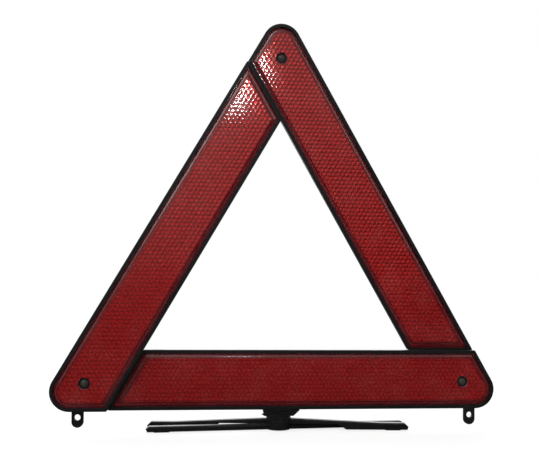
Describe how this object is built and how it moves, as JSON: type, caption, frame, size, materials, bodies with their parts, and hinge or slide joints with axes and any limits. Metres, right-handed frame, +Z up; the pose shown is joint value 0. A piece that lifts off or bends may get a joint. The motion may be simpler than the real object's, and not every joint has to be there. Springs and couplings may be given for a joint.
{
  "type": "folding warning triangle",
  "caption": "Folding roadside warning triangle: red reflector arms in black trays, riveted to fold flat, on a low post with crossed swing-out legs.",
  "frame": {"origin": "on the ground, on the vertical axis of the leg pivot, in the bottom arm's middle plane", "axes": "+Z up, the reflectors face -Y, +X to the right as seen from the front"},
  "size_m": [0.4322, 0.0276, 0.3989],
  "materials": {
    "black_plastic": "moulded black ABS, fine grain, slightly glossy",
    "red_lens": "clear red acrylic reflector with cube-corner prisms on the back",
    "rivet_plastic": "moulded dark nylon, satin",
    "washer_plastic": "natural nylon, satin",
    "steel": "zinc-plated steel",
    "rubber": "soft matt rubber"
  },
  "bodies": {
    "bottom_arm": {"bottom_tray": "black_plastic", "bottom_lens": "red_lens", "left_pivot_rivet": "rivet_plastic", "left_burr_washer": "steel", "right_pivot_rivet": "rivet_plastic", "right_burr_washer": "steel", "left_spacer_washer": "washer_plastic", "right_spacer_washer": "washer_plastic", "base_post": "black_plastic", "leg_pivot_screw": "steel", "leg_spring_washer": "steel"},
    "left_arm": {"left_tray": "black_plastic", "left_lens": "red_lens"},
    "right_arm": {"right_tray": "black_plastic", "right_lens": "red_lens", "apex_rivet": "rivet_plastic", "apex_burr_washer": "steel", "apex_catch": "black_plastic"},
    "lower_leg": {"lower_leg": "black_plastic", "lower_leg_pads": "rubber", "leg_friction_washer": "washer_plastic"},
    "upper_leg": {"upper_leg": "black_plastic", "upper_leg_pads": "rubber"}
  },
  "joints": [
    {"name": "left_arm_fold", "type": "hinge", "parent": "bottom_arm", "child": "left_arm", "pos_m": [-0.1841, -0.0068, 0.046], "axis": [0.0046, 1, -0.008], "range_deg": [0, 60]},
    {"name": "right_arm_fold", "type": "hinge", "parent": "bottom_arm", "child": "right_arm", "pos_m": [0.1841, 0.0068, 0.046], "axis": [-0.0046, -1, -0.008], "range_deg": [0, 60]},
    {"name": "lower_leg_swing", "type": "hinge", "parent": "bottom_arm", "child": "lower_leg", "pos_m": [0, 0, 0.003], "axis": [0, 0, 1], "range_deg": [0, 55.5]},
    {"name": "upper_leg_swing", "type": "hinge", "parent": "bottom_arm", "child": "upper_leg", "pos_m": [0, 0, 0.009], "axis": [0, 0, -1], "range_deg": [0, 55.5]}
  ]
}
